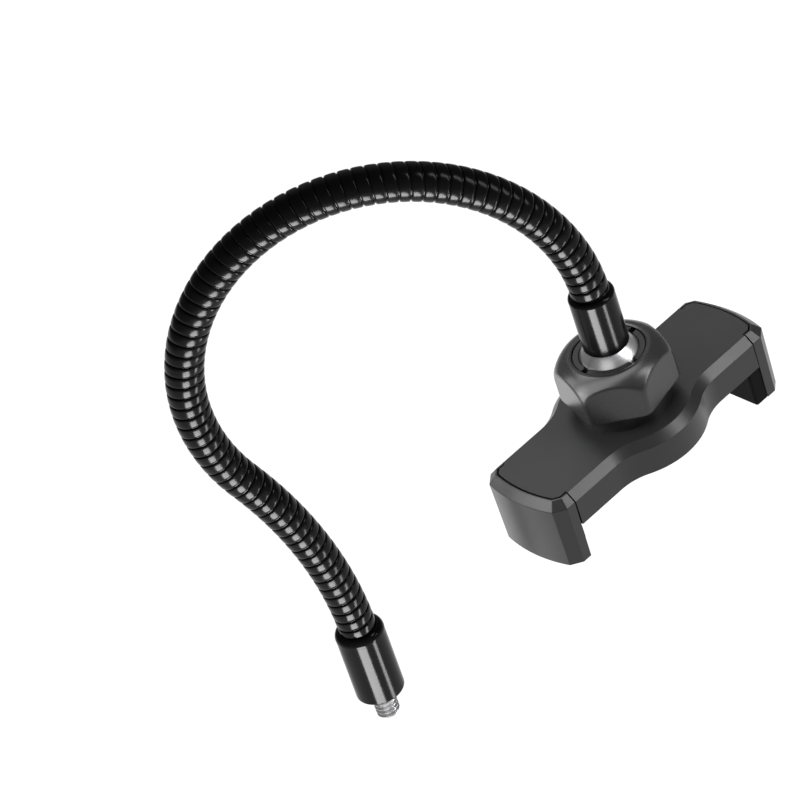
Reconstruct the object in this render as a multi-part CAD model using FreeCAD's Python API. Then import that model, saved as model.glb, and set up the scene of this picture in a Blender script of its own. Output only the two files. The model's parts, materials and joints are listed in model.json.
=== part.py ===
import FreeCAD, Part
import math
import os
from FreeCAD import Placement, Rotation, Vector

# A gooseneck selfie stick: a bendable arm with a tripod stud at its foot and a ball at its tip,
# and a sprung phone clamp whose slotted socket is locked onto the ball by a hexagonal nut.
# Sizes are millimetres and angles are degrees. The origin is the stud's shoulder, with Z up the arm.

# Clearances
PRESS_GAP = 0.05            # round faces that are pushed together
RUNNING_GAP = 0.08          # round faces that turn in one another
SEAM = 0.3                  # open line between the body and a jaw, and under the nut
SLIDE_GAP = 0.25            # round a tongue in its channel

# Arm
ARM_LENGTH = 300.0          # from the stud's shoulder to the far side of the ball
ARM_TURN = -36.0            # heading of the arm's plane about Z
LEAN_RADIUS = 120.0         # the stem's gentle lean away from the clamp
LEAN_ANGLE = 28.0
NECK_RADIUS = 5.0           # over the neck's turns
GROOVE_DEPTH = 0.45
TURN_PITCH = 3.55
CREST_SHARE = 0.5           # where a turn's crest lies between two grooves
NECK_PLUG = 9.0             # the neck's plain end inside a sleeve

# Foot of the arm
LOWER_SLEEVE_RADIUS = 6.55
LOWER_SLEEVE_LENGTH = 22.4
LOWER_SHOULDER = 1.35       # round slope at the sleeve's upper end
LOWER_SHOULDER_HEIGHT = 2.6
SHOULDER_CUT = 0.29         # how much of a shoulder its round takes off the square corner
STUD_RADIUS = 3.175         # quarter inch tripod thread, over its crests
STUD_LENGTH = 8.3
STUD_TIP = 0.7
STUD_RECESS_RADIUS = 1.6
STUD_RECESS_DEPTH = 3.0
STUD_FLANGE_RADIUS = 5.75
STUD_FLANGE = 2.0
STUD_SHANK_RADIUS = 3.5
STUD_SHANK = 9.0

# Tip of the arm
BALL_RADIUS = 8.7
BALL_STEM_RADIUS = 3.0
UPPER_SLEEVE_RADIUS = 6.0
UPPER_SLEEVE_LENGTH = 16.5
UPPER_SLEEVE_RIM = 0.4      # wall of the cup that faces the ball
UPPER_SHOULDER = 0.8
UPPER_SHOULDER_HEIGHT = 1.4
END_BEVEL = 0.4

# Clamp body
BODY_WIDTH = 27.5
BODY_THICKNESS = 9.7
SEAM_TO_SEAM = 66.6
BEVEL_WIDTH = 2.1           # the sloping band along the upper edges
BEVEL_HEIGHT = 2.2
BULGE_RADIUS = 19.5         # round swelling under the nut
BLEND_RADIUS = 14.0         # hollow curve from the swelling to a wing
ROOF = 2.6
BACK_PLATE = 2.0
SKIRT = 1.6                 # wall that hides the back plate's edge
CHANNEL_WIDTH = 18.5

# Jaws
JAW_HEIGHT = 20.2
JAW_DRAFT = 0.35            # how far the outer walls lean in at their foot
JAW_SIDE = 3.0              # flat side between the seam and the corner facet
FACET_LENGTH = 3.0
FACET_WIDTH = 2.5
JAW_CROWN = 1.5             # swell of the outer face
JAW_LAND = 0.4              # narrow flat along the rim's top
NOSE_GAP = 0.45             # open line round the end of the cover
JAW_TRAVEL = 14.0
TONGUE_TIP_GAP = 2.0        # between the two tongues when closed
GRIP_PAD = 4.1
GRIP_PAD_GAP = 0.4          # between a pad and the body above it
GRIP_PAD_ROUND = 0.7
RIGHT_PAD_WIDTH = 26.6      # the whole jaw
LEFT_PAD_WIDTH = 16.0

# Springs that pull the jaws together
SPRING_RADIUS = 1.9
SPRING_WIRE = 0.6
SPRING_SOLID = 7.0          # length when fully squeezed
SPRING_SPACING = 10.4
WINDOW_START = 5.0          # inner end of a tongue's window, from the middle
PEG = 1.8

# Ball socket and nut
SOCKET_RADIUS = 11.2        # over the thread
SOCKET_NOSE_RADIUS = 9.3    # over the fingers' tips
SOCKET_MOUTH_RADIUS = 7.9
SOCKET_BORE_RADIUS = 8.85
SOCKET_LIP_START = 1.2      # height above the ball's centre where the fingers close in
SOCKET_TIP = 4.1            # fingers' tips above the ball's centre
NOSE_START = 1.0            # where the outside of the fingers starts to taper
SLOT_WIDTH = 1.8
SLOT_FLOOR = 3.5            # slots end this far below the ball's centre
COLLAR_RADIUS = 12.5
COLLAR_HEIGHT = 3.7
SOCKET_PAD = 1.2
SOCKET_PAD_RADIUS = 6.0
NUT_SIDES = 6
NUT_FLATS = 27.2
NUT_HEIGHT = 12.6
NUT_RIM = 0.3               # nut's top above the fingers' tips
NUT_TOP_RADIUS = 10.6
NUT_CROWN_DROP = 1.4        # how far the round crown falls from the top to a flat's middle
NUT_SKIRT_HEIGHT = 7.2      # where the crown meets the corners
NUT_FOOT_BEVEL = 0.6
NUT_HEADING = -46.0         # turn of the hexagon about its axis

# Fasteners and pads on the phone's side
SCREW_SPACING_X = 15.0
SCREW_SPACING_Y = 26.4
SCREW_RADIUS = 1.2
SCREW_LENGTH = 6.0
SCREW_HEAD_RADIUS = 2.1
SCREW_HEAD = 1.2
PHONE_PAD_LENGTH = 46.0
PHONE_PAD_WIDTH = 18.0
PHONE_PAD = 1.0
PHONE_PAD_CORNER = 3.0

# The arm's route, from the lower sleeve's top to the upper sleeve's top
SLEEVE_SEAT = math.sqrt((BALL_RADIUS + RUNNING_GAP) ** 2 - (UPPER_SLEEVE_RADIUS - UPPER_SLEEVE_RIM) ** 2)
LEAN_LENGTH = LEAN_RADIUS * math.radians(LEAN_ANGLE)
NECK_LENGTH = ARM_LENGTH - BALL_RADIUS - SLEEVE_SEAT - UPPER_SLEEVE_LENGTH - LOWER_SLEEVE_LENGTH
ARCH_RADIUS = (NECK_LENGTH - LEAN_LENGTH) / math.radians(180.0 + LEAN_ANGLE)
PLUG_RADIUS = NECK_RADIUS - GROOVE_DEPTH
UPPER_NECK_SEAT = SLEEVE_SEAT + UPPER_SLEEVE_LENGTH - NECK_PLUG - PRESS_GAP  # above the ball's centre

# Levels in the clamp, from the ball's centre
NUT_TOP_Z = SOCKET_TIP + NUT_RIM
NUT_BOTTOM_Z = NUT_TOP_Z - NUT_HEIGHT
COLLAR_TOP_Z = NUT_BOTTOM_Z - SEAM
BODY_TOP_Z = COLLAR_TOP_Z - COLLAR_HEIGHT
BODY_BOTTOM_Z = BODY_TOP_Z - BODY_THICKNESS
BEVEL_FOOT_Z = BODY_TOP_Z - BEVEL_HEIGHT
JAW_BOTTOM_Z = BODY_TOP_Z - JAW_HEIGHT
CHANNEL_TOP_Z = BODY_TOP_Z - ROOF
CHANNEL_BOTTOM_Z = BODY_BOTTOM_Z + BACK_PLATE
SOCKET_FLOOR_Z = -BALL_RADIUS - RUNNING_GAP - SOCKET_PAD

HALF_WIDTH = BODY_WIDTH / 2
SEAM_X = SEAM_TO_SEAM / 2
SPRING_LENGTH = JAW_TRAVEL + SPRING_SOLID


def revolved(points):
    """A solid turned about Z from a closed outline of (radius, height) points."""
    corners = [Vector(r, 0, z) for r, z in points]
    outline = Part.makePolygon(corners + corners[:1])
    return Part.Face(outline).revolve(Vector(0, 0, 0), Vector(0, 0, 1), 360)


def turned_sleeve(inside, radius, top, shoulder, shoulder_height):
    """A sleeve turned about Z, with a round shoulder; its inside points run down from its top."""
    corners = [Vector(r, 0, z) for r, z in inside]
    foot = Vector(radius, 0, top - shoulder_height)
    middle = Vector(radius - SHOULDER_CUT * shoulder, 0, top - SHOULDER_CUT * shoulder_height)
    rim = Vector(radius - shoulder, 0, top)
    path = [rim] + corners + [foot]
    edges = [Part.LineSegment(a, b) for a, b in zip(path, path[1:])]
    outline = closed_wire(edges + [Part.Arc(foot, middle, rim)])
    return Part.Face(outline).revolve(Vector(0, 0, 0), Vector(0, 0, 1), 360)


def prism(outline, bottom, top):
    """A flat outline at height zero, raised from one level to another."""
    face = Part.Face(outline)
    face.translate(Vector(0, 0, bottom))
    return face.extrude(Vector(0, 0, top - bottom))


def box(x_range, y_range, z_range):
    """A block between two limits on each axis."""
    low, high = zip(x_range, y_range, z_range)
    size = [b - a for a, b in zip(low, high)]
    return Part.makeBox(*size, Vector(*low))


def closed_wire(edges):
    """One closed outline from edges in order."""
    return Part.Wire([edge.toShape() for edge in edges])


def mirrored_y(point):
    return Vector(point.x, -point.y, point.z)


def neck_station(along):
    """The point on the arm's centre line at a length from the lower sleeve, and its heading from Z."""
    lean = min(along, LEAN_LENGTH) / LEAN_RADIUS
    height = LOWER_SLEEVE_LENGTH + LEAN_RADIUS * math.sin(lean)
    point = Vector(LEAN_RADIUS * (math.cos(lean) - 1), 0, height)
    if along <= LEAN_LENGTH:
        return point, -lean
    heading = (along - LEAN_LENGTH) / ARCH_RADIUS - lean
    centre = point + Vector(math.cos(lean), 0, math.sin(lean)) * ARCH_RADIUS
    return centre - Vector(math.cos(heading), 0, -math.sin(heading)) * ARCH_RADIUS, heading


def neck_circle(along, radius, beyond=0.0):
    """A ring round the arm's centre line, also past the ends of its bends."""
    point, heading = neck_station(along)
    point += Vector(math.sin(heading), 0, math.cos(heading)) * beyond
    ring = Part.makeCircle(radius)
    ring.Placement = Placement(point, Rotation(Vector(0, 1, 0), math.degrees(heading)))
    return Part.Wire(ring)


def gooseneck():
    """The bendable hose: shallow turns along the route, with a plain plug at each end."""
    turns = round(NECK_LENGTH / TURN_PITCH)
    pitch = NECK_LENGTH / turns
    rings = [neck_circle(0.0, PLUG_RADIUS, -NECK_PLUG)]
    for turn in range(turns):
        rings.append(neck_circle(turn * pitch, PLUG_RADIUS))
        rings.append(neck_circle((turn + CREST_SHARE) * pitch, NECK_RADIUS))
    rings.append(neck_circle(NECK_LENGTH, PLUG_RADIUS))
    rings.append(neck_circle(NECK_LENGTH, PLUG_RADIUS, NECK_PLUG))
    return Part.makeLoft(rings, True, True)


def mount_stud():
    """The steel stud: threaded end, flange that closes the sleeve, and a shank held inside it."""
    top = STUD_FLANGE + STUD_SHANK
    stud = revolved([
        (0, -STUD_LENGTH),
        (STUD_RADIUS - STUD_TIP, -STUD_LENGTH),
        (STUD_RADIUS, STUD_TIP - STUD_LENGTH),
        (STUD_RADIUS, 0),
        (STUD_FLANGE_RADIUS, 0),
        (STUD_FLANGE_RADIUS, STUD_FLANGE),
        (STUD_SHANK_RADIUS, STUD_FLANGE),
        (STUD_SHANK_RADIUS, top),
        (0, top),
    ])
    recess = Part.makeCylinder(STUD_RECESS_RADIUS, STUD_RECESS_DEPTH, Vector(0, 0, -STUD_LENGTH))
    return stud.cut(recess)


def lower_sleeve():
    """The turned sleeve over the stud's shank and the neck's lower end."""
    neck_seat = LOWER_SLEEVE_LENGTH - NECK_PLUG - PRESS_GAP
    inside = [
        (PLUG_RADIUS + PRESS_GAP, LOWER_SLEEVE_LENGTH),
        (PLUG_RADIUS + PRESS_GAP, neck_seat),
        (STUD_SHANK_RADIUS + PRESS_GAP, neck_seat),
        (STUD_SHANK_RADIUS + PRESS_GAP, STUD_FLANGE),
        (STUD_FLANGE_RADIUS + PRESS_GAP, STUD_FLANGE),
        (STUD_FLANGE_RADIUS + PRESS_GAP, 0),
        (LOWER_SLEEVE_RADIUS - END_BEVEL, 0),
        (LOWER_SLEEVE_RADIUS, END_BEVEL),
    ]
    return turned_sleeve(
        inside, LOWER_SLEEVE_RADIUS, LOWER_SLEEVE_LENGTH, LOWER_SHOULDER, LOWER_SHOULDER_HEIGHT
    )


def upper_sleeve():
    """The slimmer sleeve between the neck and the ball, drawn upwards from the ball's centre."""
    top = SLEEVE_SEAT + UPPER_SLEEVE_LENGTH
    cup_radius = UPPER_SLEEVE_RADIUS - UPPER_SLEEVE_RIM
    cup_floor = BALL_RADIUS + RUNNING_GAP
    stem_bore = BALL_STEM_RADIUS + RUNNING_GAP
    inside = [
        (PLUG_RADIUS + PRESS_GAP, top),
        (PLUG_RADIUS + PRESS_GAP, UPPER_NECK_SEAT),
        (stem_bore, UPPER_NECK_SEAT),
        (stem_bore, cup_floor),
        (cup_radius, cup_floor),
        (cup_radius, SLEEVE_SEAT),
        (UPPER_SLEEVE_RADIUS, SLEEVE_SEAT),
    ]
    return turned_sleeve(inside, UPPER_SLEEVE_RADIUS, top, UPPER_SHOULDER, UPPER_SHOULDER_HEIGHT)


def ball_stud():
    """The bright ball and its stem, drawn about the ball's centre."""
    ball = Part.makeSphere(BALL_RADIUS)
    stem = Part.makeCylinder(BALL_STEM_RADIUS, UPPER_NECK_SEAT - RUNNING_GAP)
    return ball.fuse(stem).removeSplitter()


def body_outline(inset):
    """The clamp body in plan between the seams, with every side moved in by the same amount."""
    width = HALF_WIDTH - inset
    bulge = BULGE_RADIUS - inset
    blend = BLEND_RADIUS + inset
    end = SEAM_X - SEAM / 2
    blend_x = math.sqrt((bulge + blend) ** 2 - (width + blend) ** 2)
    blend_centre = Vector(blend_x, width + blend, 0)
    meeting = blend_centre * (bulge / (bulge + blend))
    to_wing = Vector(0, -1, 0)
    to_bulge = blend_centre * (-1 / (bulge + blend))
    middle = blend_centre + (to_wing + to_bulge).normalize() * blend
    quarter = [
        Vector(end, width, 0),
        Vector(blend_x, width, 0),
        middle,
        meeting,
    ]
    far = [Vector(-p.x, p.y, 0) for p in quarter]
    front = [mirrored_y(p) for p in quarter]
    far_front = [mirrored_y(p) for p in far]
    return closed_wire([
        Part.LineSegment(quarter[0], quarter[1]),
        Part.Arc(quarter[1], quarter[2], quarter[3]),
        Part.Arc(quarter[3], Vector(0, bulge, 0), far[3]),
        Part.Arc(far[3], far[2], far[1]),
        Part.LineSegment(far[1], far[0]),
        Part.LineSegment(far[0], far_front[0]),
        Part.LineSegment(far_front[0], far_front[1]),
        Part.Arc(far_front[1], far_front[2], far_front[3]),
        Part.Arc(far_front[3], Vector(0, -bulge, 0), front[3]),
        Part.Arc(front[3], front[2], front[1]),
        Part.LineSegment(front[1], front[0]),
        Part.LineSegment(front[0], quarter[0]),
    ])


def jaw_outline(inset, start):
    """The right jaw in plan from a level on X outwards: flat side, corner facet, crowned face."""
    half_chord = HALF_WIDTH - FACET_WIDTH
    crown_x = SEAM_X + JAW_SIDE + FACET_LENGTH + JAW_CROWN
    crown_radius = (half_chord ** 2 + JAW_CROWN ** 2) / (2 * JAW_CROWN)
    crown_centre = crown_x - crown_radius
    facet = Vector(FACET_LENGTH, FACET_WIDTH, 0).normalize()
    facet_in = Vector(-facet.y, facet.x, 0)
    corner = Vector(SEAM_X + JAW_SIDE, -HALF_WIDTH, 0) + facet_in * inset
    side_y = -HALF_WIDTH + inset
    side_end = corner + facet * ((side_y - corner.y) / facet.y)
    radius = crown_radius - inset
    to_corner = corner - Vector(crown_centre, 0, 0)
    along = to_corner.dot(facet)
    reach = math.sqrt(along ** 2 - to_corner.dot(to_corner) + radius ** 2) - along
    facet_end = corner + facet * reach
    return closed_wire([
        Part.LineSegment(Vector(start, side_y, 0), side_end),
        Part.LineSegment(side_end, facet_end),
        Part.Arc(facet_end, Vector(crown_centre + radius, 0, 0), mirrored_y(facet_end)),
        Part.LineSegment(mirrored_y(facet_end), mirrored_y(side_end)),
        Part.LineSegment(mirrored_y(side_end), Vector(start, -side_y, 0)),
        Part.LineSegment(Vector(start, -side_y, 0), Vector(start, side_y, 0)),
    ])


def sloped(lower, bottom, upper, top):
    """A solid with sloping sides, from an outline at one level to a like outline at another."""
    lower.translate(Vector(0, 0, bottom))
    upper.translate(Vector(0, 0, top))
    return Part.makeLoft([lower, upper], True, True)


def both_ends(shape):
    """A right-hand shape with its half-turned twin on the left."""
    twin = shape.copy()
    twin.rotate(Vector(0, 0, 0), Vector(0, 0, 1), 180)
    return [shape, twin]


def screw_places():
    """The four corners of the cover screws' rectangle."""
    xs = (-SCREW_SPACING_X / 2, SCREW_SPACING_X / 2)
    ys = (-SCREW_SPACING_Y / 2, SCREW_SPACING_Y / 2)
    return [(x, y) for x in xs for y in ys]


def socket_cup():
    """The threaded cup on the cover: a collar, and a wall split into four fingers round the ball."""
    cup = revolved([
        (0, BODY_TOP_Z),
        (COLLAR_RADIUS, BODY_TOP_Z),
        (COLLAR_RADIUS, COLLAR_TOP_Z),
        (SOCKET_RADIUS, COLLAR_TOP_Z),
        (SOCKET_RADIUS, NOSE_START),
        (SOCKET_NOSE_RADIUS, SOCKET_TIP),
        (SOCKET_MOUTH_RADIUS, SOCKET_TIP),
        (SOCKET_BORE_RADIUS, SOCKET_LIP_START),
        (SOCKET_BORE_RADIUS, SOCKET_FLOOR_Z),
        (0, SOCKET_FLOOR_Z),
    ])
    across = (-SOCKET_RADIUS - SEAM, SOCKET_RADIUS + SEAM)
    slot = (-SLOT_WIDTH / 2, SLOT_WIDTH / 2)
    depth = (-SLOT_FLOOR, SOCKET_TIP + SEAM)
    return cup.cut([box(across, slot, depth), box(slot, across, depth)])


def top_cover():
    """The body's moulding: bevelled shell, end noses under the jaws' rims, channel and ball cup."""
    body = prism(body_outline(0.0), BODY_BOTTOM_Z, BEVEL_FOOT_Z)
    band = sloped(body_outline(0.0), BEVEL_FOOT_Z, body_outline(BEVEL_WIDTH), BODY_TOP_Z)
    nose_inset = BEVEL_WIDTH + JAW_LAND + NOSE_GAP
    nose_start = SEAM_X - JAW_SIDE
    nose = prism(jaw_outline(nose_inset, nose_start), BEVEL_FOOT_Z, BODY_TOP_Z)
    body = body.fuse([band, socket_cup()] + both_ends(nose))
    through = (-SEAM_X, SEAM_X)
    half_channel = CHANNEL_WIDTH / 2
    channel = box(through, (-half_channel, half_channel), (BODY_BOTTOM_Z, CHANNEL_TOP_Z))
    recess = prism(body_outline(SKIRT), BODY_BOTTOM_Z, CHANNEL_BOTTOM_Z)
    holes = [
        Part.makeCylinder(SCREW_RADIUS + PRESS_GAP, SCREW_LENGTH + PRESS_GAP, Vector(x, y, BODY_BOTTOM_Z))
        for x, y in screw_places()
    ]
    return body.cut([channel, recess] + holes).removeSplitter()


def back_plate():
    """The plate that closes the body towards the phone, with a peg for each spring."""
    plate = prism(body_outline(SKIRT + PRESS_GAP), BODY_BOTTOM_Z, CHANNEL_BOTTOM_Z)
    peg_x = WINDOW_START + SPRING_LENGTH + 2 * PRESS_GAP
    pegs = []
    for y in (-SPRING_SPACING / 2, SPRING_SPACING / 2):
        peg = box(
            (peg_x, peg_x + PEG),
            (y - SPRING_RADIUS, y + SPRING_RADIUS),
            (CHANNEL_BOTTOM_Z, CHANNEL_TOP_Z - SLIDE_GAP),
        )
        pegs += both_ends(peg)
    cuts = []
    for x, y in screw_places():
        foot = Vector(x, y, BODY_BOTTOM_Z)
        cuts.append(Part.makeCylinder(SCREW_RADIUS + PRESS_GAP, BACK_PLATE, foot))
        cuts.append(Part.makeCylinder(SCREW_HEAD_RADIUS + PRESS_GAP, SCREW_HEAD, foot))
    return plate.fuse(pegs).cut(cuts)


def cover_screws():
    """Four small screws that hold the back plate in the cover."""
    screw = revolved([
        (0, 0),
        (SCREW_HEAD_RADIUS, 0),
        (SCREW_HEAD_RADIUS, SCREW_HEAD),
        (SCREW_RADIUS, SCREW_HEAD),
        (SCREW_RADIUS, SCREW_LENGTH),
        (0, SCREW_LENGTH),
    ])
    screws = []
    for x, y in screw_places():
        placed = screw.copy()
        placed.translate(Vector(x, y, BODY_BOTTOM_Z))
        screws.append(placed)
    return Part.makeCompound(screws)


def right_jaw():
    """A jaw: crowned outer wall, rim round the cover's nose, and a windowed tongue in the channel."""
    inner_x = SEAM_X + SEAM / 2
    edge = jaw_outline(0.0, inner_x)
    wall = sloped(jaw_outline(JAW_DRAFT, inner_x), JAW_BOTTOM_Z, edge.copy(), BEVEL_FOOT_Z)
    rim = sloped(edge, BEVEL_FOOT_Z, jaw_outline(BEVEL_WIDTH, inner_x), BODY_TOP_Z)
    pocket_inset = BEVEL_WIDTH + JAW_LAND
    pocket = prism(jaw_outline(pocket_inset, SEAM_X), BEVEL_FOOT_Z - SEAM, BODY_TOP_Z)
    tongue_y = CHANNEL_WIDTH / 2 - SLIDE_GAP
    tongue_z = (CHANNEL_BOTTOM_Z + SLIDE_GAP, CHANNEL_TOP_Z - SLIDE_GAP)
    tongue = box((TONGUE_TIP_GAP / 2, inner_x + JAW_SIDE), (-tongue_y, tongue_y), tongue_z)
    window_end = WINDOW_START + SPRING_LENGTH + PEG + SEAM + 2 * PRESS_GAP
    half_window = SPRING_RADIUS + SLIDE_GAP
    windows = [
        box((WINDOW_START, window_end), (y - half_window, y + half_window), tongue_z)
        for y in (-SPRING_SPACING / 2, SPRING_SPACING / 2)
    ]
    return wall.fuse([rim]).cut(pocket).fuse(tongue).cut(windows).removeSplitter()


def grip_pad(width):
    """The rubber pad on the right jaw's inner face, rounded round the face that grips."""
    inner_x = SEAM_X + SEAM / 2
    face_x = inner_x - GRIP_PAD
    height = (JAW_BOTTOM_Z, BODY_BOTTOM_Z - GRIP_PAD_GAP)
    pad = box((face_x, inner_x), (-width / 2, width / 2), height)
    rim = [edge for edge in pad.Edges if all(abs(end.X - face_x) < PRESS_GAP for end in edge.Vertexes)]
    return pad.makeFillet(GRIP_PAD_ROUND, rim)


def right_spring(y):
    """A squeezed coil spring, as the sleeve that its coils fill, between a window's end and a peg."""
    middle_z = (CHANNEL_BOTTOM_Z + CHANNEL_TOP_Z) / 2
    start = Vector(WINDOW_START + PRESS_GAP, y, middle_z)
    along = Vector(1, 0, 0)
    outside = Part.makeCylinder(SPRING_RADIUS, SPRING_LENGTH, start, along)
    inside = Part.makeCylinder(SPRING_RADIUS - SPRING_WIRE, SPRING_LENGTH, start, along)
    return outside.cut(inside)


def phone_pad():
    """The thin rubber pad that the phone's back lies on."""
    half_length = PHONE_PAD_LENGTH / 2
    half_width = PHONE_PAD_WIDTH / 2
    thickness = (BODY_BOTTOM_Z - PHONE_PAD, BODY_BOTTOM_Z)
    sheet = box((-half_length, half_length), (-half_width, half_width), thickness)
    corners = [edge for edge in sheet.Edges if abs(edge.tangentAt(edge.FirstParameter).z) > 0.9]
    return sheet.makeFillet(PHONE_PAD_CORNER, corners)


def socket_pad():
    """The rubber disc at the bottom of the ball cup."""
    return Part.makeCylinder(SOCKET_PAD_RADIUS, SOCKET_PAD, Vector(0, 0, SOCKET_FLOOR_Z))


def lock_nut():
    """The hexagonal nut with its round crown, and a taper inside that squeezes the fingers."""
    corner_radius = NUT_FLATS / 2 / math.cos(math.pi / NUT_SIDES)
    angles = [2 * math.pi * side / NUT_SIDES for side in range(NUT_SIDES)]
    points = [Vector(math.cos(angle), math.sin(angle), 0) * corner_radius for angle in angles]
    hexagon = prism(Part.makePolygon(points + points[:1]), NUT_BOTTOM_Z, NUT_TOP_Z)
    bore = SOCKET_RADIUS + RUNNING_GAP
    mouth = SOCKET_NOSE_RADIUS + RUNNING_GAP
    shoulder = Vector(corner_radius, 0, NUT_BOTTOM_Z + NUT_SKIRT_HEIGHT)
    over_flat = Vector(NUT_FLATS / 2, 0, NUT_TOP_Z - NUT_CROWN_DROP)
    rim = Vector(NUT_TOP_RADIUS, 0, NUT_TOP_Z)
    below = [
        rim,
        Vector(mouth, 0, NUT_TOP_Z),
        Vector(mouth, 0, SOCKET_TIP),
        Vector(bore, 0, NOSE_START),
        Vector(bore, 0, NUT_BOTTOM_Z),
        Vector(corner_radius - NUT_FOOT_BEVEL, 0, NUT_BOTTOM_Z),
        Vector(corner_radius, 0, NUT_BOTTOM_Z + NUT_FOOT_BEVEL),
        shoulder,
    ]
    lines = [Part.LineSegment(start, end) for start, end in zip(below, below[1:])]
    section = closed_wire([Part.Arc(shoulder, over_flat, rim)] + lines)
    crown = Part.Face(section).revolve(Vector(0, 0, 0), Vector(0, 0, 1), 360)
    nut = hexagon.common(crown)
    nut.rotate(Vector(0, 0, 0), Vector(0, 0, 1), NUT_HEADING)
    return nut


def placed_arm(shape):
    """An arm piece, drawn in the XZ plane, turned to the arm's heading."""
    shape.rotate(Vector(0, 0, 0), Vector(0, 0, 1), ARM_TURN)
    return shape


def placed_clamp(shape):
    """A piece drawn about the ball's centre, moved to the arm's tip."""
    tip, _ = neck_station(NECK_LENGTH)
    centre = tip - Vector(0, 0, UPPER_SLEEVE_LENGTH + SLEEVE_SEAT)
    heading = Rotation(Vector(0, 0, 1), ARM_TURN)
    shape.translate(heading.multVec(centre))
    return shape


def main():
    pieces = {
        "mount_stud": mount_stud(),
        "lower_sleeve": lower_sleeve(),
        "gooseneck": placed_arm(gooseneck()),
        "upper_sleeve": placed_clamp(upper_sleeve()),
        "ball_stud": placed_clamp(ball_stud()),
        "top_cover": placed_clamp(top_cover()),
        "back_plate": placed_clamp(back_plate()),
        "cover_screws": placed_clamp(cover_screws()),
        "socket_pad": placed_clamp(socket_pad()),
        "phone_pad": placed_clamp(phone_pad()),
        "lock_nut": placed_clamp(lock_nut()),
    }
    right, left = both_ends(right_jaw())
    pieces["right_jaw"] = placed_clamp(right)
    pieces["left_jaw"] = placed_clamp(left)
    pieces["right_grip_pad"] = placed_clamp(grip_pad(RIGHT_PAD_WIDTH))
    pieces["left_grip_pad"] = placed_clamp(both_ends(grip_pad(LEFT_PAD_WIDTH))[1])
    for row, y in (("front", -SPRING_SPACING / 2), ("rear", SPRING_SPACING / 2)):
        opposite = {"front": "rear", "rear": "front"}[row]
        right, left = both_ends(right_spring(y))
        pieces[f"right_{row}_spring"] = placed_clamp(right)
        pieces[f"left_{opposite}_spring"] = placed_clamp(left)
    os.makedirs("parts", exist_ok=True)
    for name, shape in pieces.items():
        shape.exportStep(f"parts/{name}.step")


main()
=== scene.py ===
"""Looks of a gooseneck selfie stick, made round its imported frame: the wound neck, turned metal ends,
moulded phone clamp, hexagonal nut, rubber pads, screws and springs. Lengths are metres."""

import json
import math

import bmesh
import bpy
from bpy.props import FloatProperty, FloatVectorProperty, IntProperty, PointerProperty
from mathutils import Matrix, Vector

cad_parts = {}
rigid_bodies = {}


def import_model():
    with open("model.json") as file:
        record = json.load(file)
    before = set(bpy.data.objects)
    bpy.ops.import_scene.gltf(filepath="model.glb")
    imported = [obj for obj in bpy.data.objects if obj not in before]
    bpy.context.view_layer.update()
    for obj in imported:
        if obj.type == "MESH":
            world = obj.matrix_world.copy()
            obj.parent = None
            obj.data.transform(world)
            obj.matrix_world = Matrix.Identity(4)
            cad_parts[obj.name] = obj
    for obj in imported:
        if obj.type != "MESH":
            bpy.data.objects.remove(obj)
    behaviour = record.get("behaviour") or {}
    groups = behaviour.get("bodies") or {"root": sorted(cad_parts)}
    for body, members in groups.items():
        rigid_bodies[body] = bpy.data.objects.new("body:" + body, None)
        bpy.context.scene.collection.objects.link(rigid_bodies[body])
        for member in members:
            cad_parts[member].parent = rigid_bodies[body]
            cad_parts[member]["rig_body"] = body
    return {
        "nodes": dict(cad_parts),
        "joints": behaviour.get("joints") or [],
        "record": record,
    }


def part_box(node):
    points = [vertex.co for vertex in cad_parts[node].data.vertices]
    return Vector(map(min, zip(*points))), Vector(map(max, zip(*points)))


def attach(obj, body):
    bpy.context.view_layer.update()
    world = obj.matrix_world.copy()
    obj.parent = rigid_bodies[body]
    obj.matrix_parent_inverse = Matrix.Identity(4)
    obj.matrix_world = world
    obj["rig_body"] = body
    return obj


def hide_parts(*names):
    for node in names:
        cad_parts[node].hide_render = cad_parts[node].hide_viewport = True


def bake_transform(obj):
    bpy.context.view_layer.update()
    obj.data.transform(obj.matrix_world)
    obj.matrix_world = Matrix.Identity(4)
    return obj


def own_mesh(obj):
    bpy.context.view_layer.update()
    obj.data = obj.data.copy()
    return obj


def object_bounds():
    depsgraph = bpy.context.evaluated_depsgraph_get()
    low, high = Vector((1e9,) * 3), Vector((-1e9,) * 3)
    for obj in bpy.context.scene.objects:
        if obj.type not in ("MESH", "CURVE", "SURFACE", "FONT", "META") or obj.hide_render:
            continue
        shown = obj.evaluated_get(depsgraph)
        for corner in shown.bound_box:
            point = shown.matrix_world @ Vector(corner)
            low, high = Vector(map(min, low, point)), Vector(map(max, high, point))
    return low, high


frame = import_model()
CAD_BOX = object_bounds()

bl_info = {
    "name": "Gooseneck Selfie Stick",
    "version": (1, 0, 0),
    "blender": (4, 5, 0),
    "location": "View3D > Sidebar > Selfie Stick",
    "description": "Dresses a gooseneck arm and its sprung phone clamp",
    "category": "Object",
}

JOINTS = {joint["name"]: joint for joint in frame["joints"]}
BALL_CENTRE = Vector(JOINTS["ball_swivel"]["pos_m"])
ARM_AXIS = Vector((0, 0, 0))
UP = Vector((0, 0, 1))

# Meshes taken from the frame
WELD = 1e-6                        # corners closer than this are one
FLAT_ANGLE = math.radians(0.6)     # faces closer to level than this are one
SHARP_ANGLE = math.radians(20)     # edges that turn more than this are rounded
CREASE_ANGLE = math.radians(38)    # edges left sharper than this shade as creases
BEVEL_STEPS = 3                    # faces across a rounded edge
ROUND_PROFILE = 0.5                # a bevel whose section is part of a circle

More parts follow.
